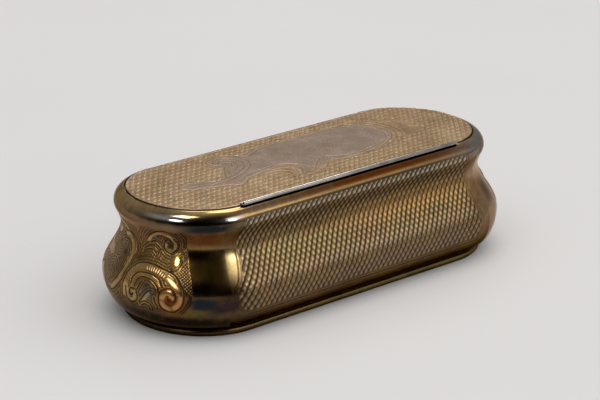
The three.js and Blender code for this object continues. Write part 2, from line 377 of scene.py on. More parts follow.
def worked_colour(tree, where, blotches, colour, wear_and_highlight):
    """A colour under the laid tint, with crests lightened by wear and painted highlight, cuts darkened by
    grime and painted shade, and fine speckles.
    """
    amount = layer_value(tree, "tint", "Alpha")
    cover = math_node(tree, "MULTIPLY", amount, span(tree, blotches, *BLOTCHY_COVER), clamp=True)
    colour = mix_colour(tree, cover, colour, layer_value(tree, "tint", "Color"))
    crest = math_node(tree, "MULTIPLY", layer_value(tree, "crest"), CREST_WEAR_AND_HIGHLIGHT, clamp=True)
    colour = mix_colour(tree, crest, colour, wear_and_highlight)
    cut = math_node(tree, "MULTIPLY", layer_value(tree, "cut"), CUT_GRIME_AND_SHADE, clamp=True)
    colour = mix_colour(tree, cut, colour, GRIME_AND_SHADE)
    speckle = span(tree, noise(tree, where, *SPECKLES), *SPECKLED)
    return mix_colour(tree, 1.0, colour, speckle, "MULTIPLY")


def scratches(tree, where, strength):
    """Normals of fine scratches."""
    inputs = {"Strength": strength, "Distance": SCRATCH_DEPTH, "Height": noise(tree, where, *SCRATCHES)}
    return node(tree, "ShaderNodeBump", inputs).outputs["Normal"]


def gilt(name, hues, roughness=0.15, scratch=0.25, wear_and_highlight=(0.85, 0.68, 0.42), patches=0.0, graze=0.35):
    """Tarnished silver-gilt: patina in clouds, cuts darkened by grime and painted shade, crests lightened by
    wear and painted highlight, and a laid tint.
    """
    material = bpy.data.materials.new(name)
    material.use_nodes = True
    tree = material.node_tree
    where = node(tree, "ShaderNodeTexCoord").outputs["Object"]
    blotches = noise(tree, where, *BLOTCHES)
    colour = patina_colour(tree, where, blotches, hues, patches)
    colour = worked_colour(tree, where, blotches, colour, wear_and_highlight)
    rough = span(tree, blotches, *BLOTCHY_ROUGHNESS, roughness - SMOOTHER, roughness + ROUGHER)
    in_cuts = math_node(tree, "MULTIPLY", layer_value(tree, "cut"), CUT_ROUGHNESS)
    fill(tree, tree.nodes["Principled BSDF"], {
        "Base Color": colour,
        "Metallic": 1.0,
        "Specular Tint": tuple(graze * share for share in GRAZE_HUE),
        "Roughness": math_node(tree, "ADD", rough, in_cuts, clamp=True),
        "Normal": scratches(tree, where, scratch),
    })
    return material


# Hues of the patina from its darkest clouds to its brightest
PATINA = [(0.12, 0.07, 0.04), (0.18, 0.11, 0.05), (0.24, 0.15, 0.065), (0.3, 0.2, 0.085), (0.22, 0.16, 0.1)]
END_PATINA = [(0.17, 0.07, 0.025), (0.28, 0.14, 0.045), (0.38, 0.21, 0.065), (0.46, 0.27, 0.085),
              (0.28, 0.18, 0.1)]
RIM_PATINA = [(0.1, 0.075, 0.05), (0.22, 0.17, 0.1), (0.3, 0.23, 0.13), (0.24, 0.16, 0.08),
              (0.15, 0.14, 0.12)]
FOOT_PATINA = [(0.05, 0.028, 0.01), (0.11, 0.065, 0.022), (0.19, 0.12, 0.04)]
LID_PATINA = [(0.24, 0.16, 0.095), (0.36, 0.25, 0.155), (0.45, 0.33, 0.22)]
BRIGHT_GILT = [(0.66, 0.46, 0.2), (0.78, 0.57, 0.27), (0.86, 0.64, 0.32)]
GREY_SILVER = [(0.2, 0.18, 0.17), (0.36, 0.33, 0.31), (0.54, 0.5, 0.47)]
STEEL = [(0.35, 0.34, 0.33), (0.5, 0.5, 0.5), (0.6, 0.6, 0.6)]
PATCH_HUES = [(0.34, (0.06, 0.065, 0.06)), (0.42, (0.16, 0.13, 0.06)), (0.48, (0.3, 0.2, 0.07)),
              (0.54, (0.24, 0.11, 0.045)), (0.6, (0.1, 0.06, 0.05)), (0.68, (0.17, 0.15, 0.1))]
side_gilt = gilt("side_gilt", PATINA, 0.25, wear_and_highlight=(0.4, 0.3, 0.165), patches=0.5)
end_gilt = gilt("end_gilt", END_PATINA, 0.17, wear_and_highlight=(0.76, 0.53, 0.23), patches=0.35, graze=0.75)
rim_gilt = gilt("rim_gilt", RIM_PATINA, 0.11, wear_and_highlight=(0.75, 0.68, 0.56), patches=0.4, graze=0.5)
foot_gilt = gilt("foot_gilt", FOOT_PATINA, 0.28, patches=0.25)
lid_gilt = gilt("lid_gilt", LID_PATINA, 0.24, wear_and_highlight=(0.6, 0.44, 0.25), patches=0.14, graze=0.8)
inner_gilt = gilt("inner_gilt", BRIGHT_GILT, 0.25, graze=1)
lip_silver = gilt("lip_silver", GREY_SILVER, 0.14, 0.05, graze=0.8)
pin_steel = gilt("pin_steel", STEEL, 0.3, graze=1)


# Engine turning: sizes of a grain in millimetres, then places, widths and heights as shares of it
SIDE_GRAIN = (1.36, 2.14)
LID_GRAIN_WIDTH = 1.38
TURNED_DEPTH = 0.13
WANDER = 0.05
RIDGE_PLACE = 0.66
SIDE_CROSSING = 0.34
LID_CROSSING = 0.9
GRAIN_ROUNDNESS = 0.7
LEVEL_HEIGHT = 0.9
CREST_START = 0.45
# A painted dark streak in each grain, which splits its lit face: place, width, darkness and edge
SHADE_STREAK_PLACE = 0.47
SHADE_STREAK_WIDTH = 0.09
SHADE_STREAK_DARKNESS = 0.6
SHADE_STREAK_EDGE = 1.5
# How dark the painted shade on the short faces and the darkening in valleys and between grains are, and how
# fast they fade
BEHIND_SHADE = 1.25
VALLEY_SHADE = 0.8
VALLEY_FADE = 2.6
CROSSING_SHADE = 1.5


def turned_work(across, along, crossing=SIDE_CROSSING, slant=1):
    """Raise, cut and crest of slanted chains of grains, each with a long face to the upper left; the cut
    paints shade, the crest highlight and wear.
    """
    place = (across + along + WANDER * np.sin(2 * TAU * along)) % 1
    before = place / RIDGE_PLACE
    after = (1 - place) / (1 - RIDGE_PLACE)
    in_chain = slant * across - along
    grain = np.abs(np.cos(math.pi * in_chain))
    rounded = np.sin(np.clip(before, 0, 1) * math.pi / 2)
    height = np.minimum(rounded, after) * (1 - crossing + crossing * grain ** GRAIN_ROUNDNESS)
    cut = turned_cut(place, before, after, grain, crossing)
    # A painted dark streak in each grain
    shade_streak = SHADE_STREAK_DARKNESS * np.exp(-((place - SHADE_STREAK_PLACE) / SHADE_STREAK_WIDTH) ** 2)
    cut = np.maximum(cut, shade_streak * np.clip(SHADE_STREAK_EDGE * np.sin(TAU * in_chain), 0, 1))
    return (height - LEVEL_HEIGHT) * TURNED_DEPTH, cut, np.clip((height - CREST_START) * 2, 0, 1)


def turned_cut(place, before, after, grain, crossing):
    """Painted shade on the short face, and darkening in the valley before the long face and between two
    grains of a chain.
    """
    valley = VALLEY_SHADE * np.clip(1 - before * VALLEY_FADE, 0, 1)
    behind = np.where(place > RIDGE_PLACE, np.clip(BEHIND_SHADE - after, 0, 1), valley)
    return np.maximum(behind, crossing * CROSSING_SHADE * np.clip(1 - grain * 2, 0, 1))


# Border of the front panel on its left, as heights and lengths from the middle of the front
BORDER = [(24.6, 30.6), (23.6, 30.9), (22.6, 31.4), (21.2, 32.3), (20.0, 32.7), (18.0, 32.5), (16.4, 32.3),
          (14.4, 32.7), (12.4, 33.2), (10.8, 34.3), (9.0, 34.2), (7.2, 33.6), (5.8, 32.4), (5.3, 31.4)]
RIGHT_DRAW_IN = 0.5
PANEL_TOP = 24.45
PANEL_BOTTOM = 5.3
TOP_FADE = 0.1
LINE_GAP = 0.65
LINE_WIDTH = 0.24
LINE_DEPTH = 0.09
LINE_SHADE = 0.9
INNER_LINE = 0.8
TURNED_START = LINE_GAP + 0.1
TURNED_FADE = 0.15


def groove(distance, width=LINE_WIDTH):
    """A V cut, 1 at its middle and 0 at half its width."""
    return np.clip(1 - distance / (width / 2), 0, 1)


def side_panel(u, z, v, middle):
    """Relief of the turned panel round the middle of the front or back: raise, cut and crest."""
    heights, reaches = np.array(BORDER)[::-1].T
    reach = np.interp(z, heights, reaches)
    reach = np.where(u > middle, reach - (reach - BORDER[0][1]) * RIGHT_DRAW_IN, reach)
    inside = np.minimum(reach - np.abs(u - middle), z - PANEL_BOTTOM)
    below_top = np.clip((PANEL_TOP - z) / TOP_FADE, 0, 1)
    within = np.clip((inside - TURNED_START) / TURNED_FADE, 0, 1) * below_top
    raised, cuts, crests = turned_work((u - middle) / SIDE_GRAIN[0], v / SIDE_GRAIN[1])
    lines = np.maximum(groove(np.abs(inside)), INNER_LINE * groove(np.abs(inside - LINE_GAP))) * below_top
    raised = within * raised - lines * LINE_DEPTH
    return raised, np.maximum(within * cuts, lines * LINE_SHADE), within * crests


# Engraved lines

def curve(points, step=0.06):
    """A smooth line through the points, in small even steps."""
    knots = np.array(points, float)
    knots = np.concatenate([[2 * knots[0] - knots[1]], knots, [2 * knots[-1] - knots[-2]]])
    parts = []
    for k in range(1, len(knots) - 2):
        before, start, end, after = knots[k - 1:k + 3]
        t = np.linspace(0, 1, max(2, int(np.hypot(*(end - start)) / step)), endpoint=False)[:, None]
        bend = 2 * before - 5 * start + 4 * end - after
        twist = 3 * start - before - 3 * end + after
        parts.append(0.5 * (2 * start + (end - before) * t + bend * t ** 2 + twist * t ** 3))
    parts.append(knots[-2:-1])
    return np.concatenate(parts)


def distance_to(lines, across, up, reach):
    """Distance of every place of a grid from the nearest line, to no more than a reach."""
    found = np.full((len(across), len(up)), float(reach))
    for line in lines:
        for a, b in curve(line):
            i, i_end = np.searchsorted(across, (a - reach, a + reach))
            j, j_end = np.searchsorted(up, (b - reach, b + reach))
            near = np.hypot(across[i:i_end, None] - a, up[None, j:j_end] - b)
            found[i:i_end, j:j_end] = np.minimum(found[i:i_end, j:j_end], near)
    return found


def within_outline(outline, x, y):
    """Whether places lie inside a closed outline."""
    inside = np.zeros(np.broadcast(x, y).shape, bool)
    for (x0, y0), (x1, y1) in zip(outline, np.roll(outline, -1, axis=0)):
        crosses = (y0 > y) != (y1 > y)
        reach = x0 + (y - y0) * (x1 - x0) / (y1 - y0 if y1 != y0 else 1)
        inside ^= crosses & (x < reach)
    return inside


def strokes(start, end, count):
    """Short strokes fanned evenly from one stroke to another."""
    share = np.linspace(0, 1, count)[:, None, None]
    return list(np.array(start, float) + (np.array(end, float) - np.array(start, float)) * share)


# Engraving of an end, as lengths in front of its tip and heights. The cuts come first.
SCROLLS = [
    [(14.3, 10.3), (14.2, 9.3), (13.9, 8.3), (13.2, 7.2), (12.4, 6.2)],
    [(14, 10.4), (13.9, 9.5), (13.5, 8.5), (12.9, 7.5), (12.1, 6.6)],
    [(13, 10.5), (12.9, 9.2), (12.5, 7.9), (11.7, 7), (10.8, 6.5), (9.7, 6.6), (8.8, 7), (8.3, 8),
     (8.2, 9.4), (8.5, 10.5), (9.1, 11.1), (9.9, 11.4), (10.8, 11.3), (11.4, 10.6), (11.5, 9.7), (11.2, 8.9),
     (10.6, 8.6), (10.1, 8.9), (10, 9.5)],
    [(-0.6, 7.4), (-0.4, 8.8), (-0.1, 11.2), (0.6, 13.3), (1.4, 14.2), (2.4, 14.8), (3.9, 15.2), (6.1, 15.2),
     (7.5, 14.9), (9.5, 14.4), (10.6, 14.1), (11.5, 13.5), (12.1, 12.6), (12.8, 11.5), (13, 10.5)],
    [(1.9, 10.8), (1.9, 12), (2.4, 12.8), (3.1, 13.3), (4.4, 13.5), (6.2, 13.5), (7.1, 13.2), (7.9, 12.8),
     (8.5, 12.2), (8.9, 11.5)],
    [(2.9, 10.6), (3.1, 11.6), (3.5, 12.3), (4.2, 12.7), (5.1, 12.7), (6.3, 12.5), (7.2, 12), (7.9, 11.4),
     (8.3, 10.5)],
    [(0.7, 10.1), (0.8, 8.5), (1, 7.3), (1.8, 6.9), (2.7, 7.1), (3.4, 7.8), (3.6, 9), (3.3, 9.8),
     (2.7, 10.1), (2, 10), (1.7, 9.4), (1.7, 8.7), (2.3, 8.6), (2.6, 9)],
    [(4.1, 7.2), (4.5, 7.6), (5.3, 8), (6.1, 7.8), (6.7, 7.2), (6.8, 6.2)],
    [(4.4, 6.9), (5.3, 7.3), (6.1, 6.9), (6.2, 6.2)],
    [(6.9, 10.5), (6.1, 10.4), (5.4, 9.6), (4.8, 8.7), (3.9, 7.5)],
    [(7.3, 9.3), (7.4, 8.4), (7.8, 7.4), (7.8, 6.6)],
    [(3.5, 10.1), (3.8, 10.7), (4.1, 11.5), (4.4, 11.9)],
    [(2.8, 19.3), (3.5, 20.1), (4.7, 21), (6.4, 21.8), (7.8, 22.1), (9.1, 22), (10, 21.5), (10.8, 21),
     (11.3, 20.2), (11.4, 19.2), (11.1, 18.4), (10.4, 17.8), (9.6, 17.5), (8.7, 17.7), (8, 18.2),
     (7.7, 18.9), (8, 19.8), (8.6, 20.2), (9.3, 20.1), (9.5, 19.6)],
    [(10.2, 20.5), (10.9, 19.9), (11.1, 19.1), (10.7, 18.4), (10, 17.9)],
    [(11.5, 21.9), (12.2, 21), (12.5, 20), (12.4, 19)],
    [(12.1, 22.1), (12.8, 21.1), (13, 19.9), (12.9, 19.1)],
    [(4.1, 19.1), (5.4, 19.5), (6.4, 19.1), (7.1, 18.6)],
    [(2.4, 17.6), (3.8, 18.4), (5.2, 18.5), (6.2, 17.9)],
    [(2.3, 17), (3.6, 17.6), (4.9, 17.7), (5.9, 17.1)],
    [(9.8, 14.8), (10.9, 15), (11.6, 15.5), (12, 16.4), (12.2, 17.1)],
    [(10, 14.5), (11.2, 14.7), (12, 15.4), (12.6, 16.3), (12.8, 17.1)],
    [(-5, 19.4), (-6.6, 18.3), (-7.1, 17.1), (-6.3, 16.3), (-5.3, 15.8)],
    [(-5, 19.4), (-2.9, 19.5), (-1.4, 18.9), (-0.4, 18), (0.2, 17), (0.4, 16.1), (0.1, 15.2), (-0.2, 13.8),
     (-0.5, 12.5), (-0.8, 11), (-1.8, 9.5), (-3.6, 7.8), (-5.6, 7), (-7.2, 7.2)],
    [(-1.2, 15.3), (-1.3, 14.2), (-1.4, 13), (-2, 11.8), (-2.6, 10.7), (-4.1, 8.9)],
    [(-6.8, 16.8), (-5.5, 17.6), (-3.9, 17.8), (-2.8, 17.4), (-2, 16.7), (-1.1, 16), (-1.1, 15.2)],
    [(-6, 12), (-5, 11.1), (-5, 9.8), (-5.7, 9)],
    [(-5.5, 12.3), (-4.2, 11.4), (-4.5, 9.6)],
]
# Hatches: first stroke, last stroke and how many there are
HATCHES = [
    ([(7.0, 15.5), (8.2, 17.1)], [(9.5, 14.6), (10.5, 16.1)], 8),
    ([(-1.3, 21.7), (-0.6, 20.8)], [(4.5, 22.7), (5.0, 21.7)], 9),
    ([(3.5, 16.1), (4.1, 17.1)], [(5.6, 15.7), (6.0, 16.9)], 4),
    ([(1.0, 15.2), (1.9, 16.4)], [(3.0, 15.6), (3.4, 16.4)], 4),
    ([(-4.6, 12.9), (-3.4, 13.7)], [(-2.6, 9.6), (-1.6, 11.0)], 9),
    ([(-6.4, 17.6), (-5.7, 18.3)], [(-2.3, 18.2), (-1.9, 19.0)], 8),
    ([(0.5, 11.6), (1.5, 11.2)], [(1.7, 14.1), (2.3, 13.2)], 6),
    ([(4.9, 14.9), (5.0, 14.0)], [(9.5, 14.0), (8.9, 13.0)], 9),
    ([(8.5, 9.0), (9.4, 9.1)], [(10.8, 6.8), (10.7, 7.9)], 8),
    ([(9.9, 20.6), (10.4, 21.2)], [(10.9, 18.5), (11.4, 18.5)], 6),
    ([(4.6, 20.4), (4.3, 20.9)], [(8.6, 21.2), (8.8, 22.0)], 8),
]
# Raised bands between cuts: line, half width and rise
BANDS = [
    ([(12.5, 10.4), (12.3, 9), (11.5, 7.8), (10.4, 7.3), (9.4, 7.6), (9, 8.6), (9.1, 9.8), (9.8, 10.6),
      (10.6, 10.4), (10.8, 9.7)], 0.62, 0.11),
    ([(0.4, 8.4), (0.7, 10.6), (1.1, 12.4), (2.2, 13.8), (3.9, 14.4), (6.1, 14.4), (7.7, 14), (9, 13.5),
      (10.2, 12.9), (11.3, 11.9), (12.2, 10.8)], 0.8, 0.11),
    ([(2.3, 10.4), (2.4, 11.6), (3.1, 12.7), (4.4, 13.1), (6.2, 13), (7.4, 12.4), (8.3, 11.6)], 0.36, 0.07),
    ([(3.4, 19.5), (5.2, 20.8), (7.4, 21.4), (9.3, 21), (10.4, 20), (10.6, 19), (9.8, 18.1), (8.6, 18.3),
      (8.3, 19.2)], 0.5, 0.1),
    ([(-4.6, 18.7), (-2.9, 18.6), (-1.3, 17.6), (-0.5, 16), (-0.7, 14), (-1.1, 12), (-2.2, 10.2),
      (-4.2, 8.1)], 0.6, 0.09),
    ([(1.2, 9.8), (1.3, 8.2), (2, 7.6), (2.8, 8), (3, 9.1), (2.4, 9.5)], 0.4, 0.07),
    ([(10.6, 14.7), (11.7, 15.3), (12.4, 16.6)], 0.3, 0.05),
    ([(6.2, 9.9), (5, 8.2), (4, 6.9)], 0.5, 0.06),
]
STIPPLED = [(12.6, 19.0), (13.1, 19.1), (13.6, 15.6), (14.6, 10.8), (13.8, 10.5), (12.9, 12.2), (12.0, 13.3),
            (11.6, 14.3), (12.7, 15.3), (12.7, 16.6)]
EYES = [((9.3, 18.9), 0.8), ((-3.0, 15.5), 0.7), ((10.4, 9.3), 0.35)]
# Scrolls and bands that the far half of an end repeats, mirrored
FAR_SCROLLS = SCROLLS[:3] + SCROLLS[12:16]
FAR_BANDS = [BANDS[0], BANDS[3]]
# Smooth bellies of the leaves: middle across and up, and reach
LEAF_BELLIES = [((11.2, 16.2), 1.35)]
BELLY_RISE = 0.2
BELLY_FALL = 0.04
CUT_WIDTH = 0.5
CUT_DEPTH = 0.15
CUT_SHADE = 1.5
HATCH_WIDTH = 0.35
HATCH_DEPTH = 0.08
HATCH_SHADE = 0.85
BAND_RISE = 0.6
FULL_CREST = 0.12
STIPPLE_PITCH = 0.68
STIPPLE_RISE = 0.14
STIPPLE_SHADE = 1.1
STIPPLE_FADE = 1.7
EYE_DEPTH = 0.08
EYE_SHADE = 0.9
# Fine parallel shading round the scrolls, and where on the end it lies
SHADING_PITCH = 0.6
SHADING_REACH = 3.0
SHADING_FADE = 0.6
SHADING_DEPTH = 0.07
SHADING_GRIME = 0.7
GROUND_GRIME = 0.2
ORNAMENT_HALF = 13.6
ORNAMENT_BOTTOM = 5.8
ORNAMENT_TOP = 22.6
FLAT_BELOW = 0.02


def mirrored(lines):
    return [[(-s, z) for s, z in line] for line in lines]


def on_surface(lines):
    """Lines of lengths and heights, turned to lengths round and down the side."""
    return [[(s, float(length_at(z))) for s, z in line] for line in lines]


def raised_bands(across, down):
    """Rise of the rounded bands of the scrollwork over the grid of an end."""
    raised = np.zeros((len(across), len(down)))
    far_bands = [(mirrored([line])[0], half, rise) for line, half, rise in FAR_BANDS]
    for line, half, rise in BANDS + far_bands:
        away = distance_to(on_surface([line]), across, down, half) / half
        raised = np.maximum(raised, rise * BAND_RISE * (1 - away ** 2))
    return raised


def scroll_shading(s, height, from_cut, bands, spotted):
    """The shaded ground round the scrolls, and its fine parallel lines."""
    ornament = np.clip(ORNAMENT_HALF - np.abs(s), 0, 1)
    ornament = ornament * np.clip(height - ORNAMENT_BOTTOM, 0, 1) * np.clip(ORNAMENT_TOP - height, 0, 1)
    near = np.clip((SHADING_REACH - from_cut) / SHADING_FADE, 0, 1)
    ground = ornament * near * (bands < FLAT_BELOW) * (1 - spotted)
    return ground, ground * (0.5 - 0.5 * np.cos(TAU * (from_cut - CUT_WIDTH / 2) / SHADING_PITCH))


def end_engraving(across, down):
    """Raise, cut and crest of the engraving over a grid of places in front of the tip and down the side."""
    s, v = np.meshgrid(across, down, indexing="ij")
    height = height_at(v)
    from_cut = distance_to(on_surface(SCROLLS + mirrored(FAR_SCROLLS)), across, down, SHADING_REACH)
    cuts = groove(from_cut, CUT_WIDTH)
    hatches = on_surface([line for group in HATCHES for line in strokes(*group)])
    hatch = groove(distance_to(hatches, across, down, HATCH_WIDTH / 2), HATCH_WIDTH)
    bands = raised_bands(across, down)
    spotted = within_outline(STIPPLED, np.abs(s), height)
    ground, shading = scroll_shading(s, height, from_cut, bands, spotted)
    beads = np.abs(np.cos(math.pi * (s + v) / STIPPLE_PITCH) * np.cos(math.pi * (s - v) / STIPPLE_PITCH))
    crest = bands / FULL_CREST + spotted * np.clip(beads * 2 - 1, 0, 1)
    dark = np.maximum(np.clip(cuts * CUT_SHADE, 0, 1), HATCH_SHADE * hatch)
    dark = np.maximum(dark, GROUND_GRIME * ground + SHADING_GRIME * shading)
    dark = np.maximum(dark, spotted * np.clip(STIPPLE_SHADE - beads * STIPPLE_FADE, 0, 1))
    raised = bands + spotted * (beads - 0.5) * STIPPLE_RISE
    raised = raised - cuts * CUT_DEPTH - hatch * HATCH_DEPTH - shading * SHADING_DEPTH
    for (middle, up), size in EYES:
        away = np.hypot(s - middle, height - up) / size
        raised = raised - EYE_DEPTH * np.exp(-away ** 2)
        dark = np.maximum(dark, EYE_SHADE * np.exp(-away ** 4))
    for (middle, up), size in LEAF_BELLIES:
        away = np.hypot(s - middle, height - up) / size
        swell = np.exp(-away ** 4)
        raised = raised * (1 - swell) + swell * (BELLY_RISE - BELLY_FALL * away ** 2)
        dark = dark * (1 - swell)
    return raised, dark, crest


def end_relief(u, z, v):
    """Engraving of an end of the case. The right end mirrors the left one."""
    along = wrap(u[:, 0])
    across = along + TIP if along[0] < 0 else TIP - along
    order = 1 if across[-1] > across[0] else -1
    return [layer[::order] for layer in end_engraving(across[::order], v[0])]


# Washes of tarnish, and of painted shade, highlight and reflection

COPPER = (0.107, 0.035, 0.009)
SLATE = (0.012, 0.021, 0.024)
PLUM = (0.024, 0.021, 0.022)
# Near-black of the washes of painted shade and dark reflection, and of a scroll's eye
NEAR_BLACK = (0.028, 0.016, 0.009)
UMBER = (0.1, 0.06, 0.03)
SILVER = (0.72, 0.7, 0.66)
GOLD = (0.62, 0.44, 0.16)
ALL_ROUND = 400


def at_end(s, z):
    """Place of a wash on the left end, in front of its tip."""
    return s - TIP, z


# Each wash: place round and up the side, reach round and up, colour and strength
SIDE_WASHES = [
    # Darker under the rim and towards the bottom, all round
    ((0, 21.0), (ALL_ROUND, 2.0), UMBER, 0.75),
    ((0, 2.0), (ALL_ROUND, 2.6), NEAR_BLACK, 0.97),
    ((0, 5.2), (ALL_ROUND, 1.6), UMBER, 0.5),
    ((14, 17.5), (22, 2.4), (0.38, 0.2, 0.06), 0.75),
    ((-16, 14.8), (13, 2.4), (0.24, 0.18, 0.07), 0.7),
    ((6, 11.6), (30, 1.6), (0.24, 0.17, 0.12), 0.6),
    ((10, 7.6), (26, 1.9), (0.21, 0.14, 0.11), 0.75),
    ((-22, 7.0), (9, 2.2), (0.19, 0.12, 0.08), 0.7),
    (at_end(2, 22.8), (11, 1.0), (0.12, 0.075, 0.055), 0.85),
    # Bands over the left end's plain reserve: painted reflection of the dark room and the floor, in slate,
    # copper, olive and plum tarnish hues
    (at_end(18, 23.2), (6, 0.95), SLATE, 1.0),
    (at_end(18, 20.8), (6, 1.5), COPPER, 0.97),
    (at_end(15, 17.5), (3.4, 1.0), NEAR_BLACK, 0.9),
    (at_end(17.5, 14.6), (3.6, 1.6), (0.24, 0.14, 0.016), 0.9),
    (at_end(16, 11.7), (3.2, 1.3), NEAR_BLACK, 0.95),
    (at_end(18, 8.0), (6.5, 2.4), PLUM, 0.97),
    (at_end(16, 8.8), (2.6, 1.1), (0.013, 0.021, 0.03), 0.8),
    (at_end(21, 8.2), (2.2, 1.6), (0.045, 0.022, 0.02), 0.8),
    (at_end(0, 5.6), (12, 1.5), (0.075, 0.052, 0.038), 0.8),
    (at_end(4, 4.0), (23, 1.6), (0.005, 0.004, 0.003), 0.97),
    (at_end(15, 6.6), (2.6, 0.8), (0.12, 0.09, 0.025), 0.8),
    # Gold painted highlight at the right edge of the reserve, with painted shade above and below it
    ((-33.6, 16), (1.8, 2.4), (0.68, 0.48, 0.2), 0.85),
    ((-33.8, 20.4), (2.4, 1.6), (0.11, 0.055, 0.018), 0.9),
    ((-34.4, 11.2), (2.6, 1.9), (0.035, 0.02, 0.008), 0.92),
    (at_end(10.6, 8.8), (2.6, 2.5), (0.27, 0.075, 0.012), 0.95),
    # Gold on the leaf's belly: painted highlight
    (at_end(11.2, 16.2), (1.5, 1.6), (0.62, 0.4, 0.13), 0.8),
    (at_end(6, 10.2), (1.5, 1.6), (0.1, 0.12, 0.12), 0.7),
    (at_end(9.3, 18.9), (1.6, 1.6), NEAR_BLACK, 0.6),
    (at_end(0, 21), (9, 2.2), (0.38, 0.2, 0.1), 0.7),
    (at_end(-3, 15.5), (2.2, 4.5), (0.14, 0.09, 0.03), 0.6),
    (at_end(-9, 14), (6, 9), (0.42, 0.3, 0.2), 0.85),
    ((41, 20.5), (8, 3), (0.62, 0.46, 0.37), 0.97),
    ((41, 12), (7, 5), (0.36, 0.24, 0.19), 0.95),
    ((38, 14.5), (2.4, 2.6), (0.06, 0.045, 0.03), 0.85),
    ((48, 12), (3.0, 8), (0.22, 0.22, 0.24), 0.85),
    ((41, 7), (8, 2.4), (0.28, 0.18, 0.15), 0.85),
]
RIM_WASHES = [
    # Dark under the left corner's highlights: painted reflection of the dark room
    (at_end(13, 24.5), (12, 0.8), NEAR_BLACK, 0.97),
    # Silver where the gilt is worn, laid where the lamps' highlights fall on the roll: wear and painted
    # highlight
    (at_end(9, 25.2), (5, 0.4), SILVER, 0.55),
    (at_end(22, 24.9), (3, 0.4), SILVER, 0.7),
    # Gold glow on the top of the roll: painted highlight
    (at_end(17, 26.2), (6, 0.35), GOLD, 0.8),
    ((8, 25.75), (28, 0.6), (0.16, 0.045, 0.008), 0.97),
    ((0, 25.05), (29, 0.25), (0.42, 0.26, 0.1), 0.85),
    ((4, 24.55), (28, 0.3), (0.08, 0.045, 0.022), 0.9),
    ((50, 25.4), (18, 1.9), (0.25, 0.28, 0.31), 0.95),
]
FOOT_WASHES = [
    # Dark at the foot's base and in the crease under the belly: painted shade
    ((0, 0), (ALL_ROUND, 0.2), NEAR_BLACK, 0.6),
    ((0, 2.05), (ALL_ROUND, 0.35), NEAR_BLACK, 0.97),
    # Darker under the left end: painted shadow
    ((-48, 0.8), (16, 1.4), NEAR_BLACK, 0.85),
    ((-24, 1.3), (10, 0.35), (0.2, 0.13, 0.06), 0.7),
    ((10, 1.2), (26, 0.4), (0.15, 0.12, 0.04), 0.7),
]


def tint_layer(shape, washes, u, z):
    """Colour and cover of washes laid one over the other."""
    colour = np.zeros((*shape, 4))
    for (u0, z0), (across, up), wash, strength in washes:
        weight = strength * np.exp(-np.abs((u - u0) / across) ** 3 - np.abs((z - z0) / up) ** 3)
        total = colour[..., 3] + weight * (1 - colour[..., 3])
        share = np.where(total > 1e-6, weight / np.maximum(total, 1e-6), 0)[..., None]
        colour[..., :3] = colour[..., :3] * (1 - share) + np.array(wash) * share
        colour[..., 3] = total
    return colour


# Wall, rim and foot

# Where the front and back pieces of the wall end, where the rim's fine steps end, and the size of steps
PANEL_HALF = 34.7
RIM_PANEL_HALF = 34.0
PANEL_STEPS = (0.13, 0.165)
END_STEPS = (0.11, 0.125)
RIM_END_STEP = 0.35
SEAT_STEP = 0.4
FOOT_STEP = 0.5
STRAIGHT_STATIONS = 30
BACK_STATIONS = 15
INNER_ROWS = 16
RIM_TURNED_ROWS = 13
ROLL_ROWS = 24
CHANNEL_CLEARANCE = 0.3
CUT_OVERRUN = 0.5
CUTTER_RISE = 2.0
# Painted shade over the lid's seat: darkness, and how far past the seat's edge it reaches
JOINT_SHADE = 0.9
JOINT_REACH = 0.04


def make_side(name, u_from, u_to, steps, relief, material):
    """One piece of the wall, with its relief outside and a plain face inside."""
    stations = np.linspace(u_from, u_to, int(round((u_to - u_from) / steps[0])) + 1)
    rows = np.linspace(0, PROFILE_LENGTH, int(PROFILE_LENGTH / steps[1]))
    u, v = np.meshgrid(stations, rows, indexing="ij")
    z = height_at(v)
    outer = np.stack([*plan(u, side_offset(z)), z], -1)
    raise_by, cut, crest = relief(u, z, v)
    outer = outer + surface_normals(outer) * raise_by[..., None]
    u_in, z_in = np.meshgrid(stations, np.linspace(FOOT_HEIGHT, SEAM_HEIGHT, INNER_ROWS), indexing="ij")
    inner = np.stack([*plan(u_in, side_offset(z_in) - WALL_THICKNESS), z_in], -1)
    shape = sweep(np.concatenate([outer, inner], 1))
    layers = grid_layers(cut, crest, tint_layer(u.shape, SIDE_WASHES, wrap(u), z), INNER_ROWS)
    make_mesh(name, shape, "box", ["body_wall"], material, layers, sharp=60)


def panel_relief(u, z, v):
    middle = BACK if u[0, 0] > PANEL_HALF else 0.0
    return side_panel(u, z, v, middle)


def make_sides():
    edges = [-PANEL_HALF, PANEL_HALF, BACK - PANEL_HALF, BACK + PANEL_HALF, 2 * BACK - PANEL_HALF]
    panel = (PANEL_STEPS, panel_relief, side_gilt)
    end = (END_STEPS, end_relief, end_gilt)
    places = (("front", panel), ("right", end), ("back", panel), ("left", end))
    for (place, work), u_from, u_to in zip(places, edges, edges[1:]):
        make_side("body_wall_" + place, u_from, u_to, *work)


def outline_stations(step):
    """Lengths round the whole outline, with the ends finely stepped."""
    quarter = np.linspace(STRAIGHT, STRAIGHT + 2 * QUARTER, int(2 * QUARTER / step))
    straight = np.linspace(-STRAIGHT, STRAIGHT, STRAIGHT_STATIONS)[1:-1]
    back = np.linspace(STRAIGHT + 2 * QUARTER, BACK, BACK_STATIONS)[1:]
    right = np.concatenate([quarter, back])
    return np.concatenate([straight, right, -right[::-1][1:]])


def ring_loops(profile, stations):
    """A closed profile of offsets and heights carried round the outline."""
    offsets, heights = np.array(profile, float).T
    u, offset = np.meshgrid(stations, offsets, indexing="ij")
    x, y = plan(u, offset)
    return np.stack([x, y, np.broadcast_to(heights, x.shape)], -1)


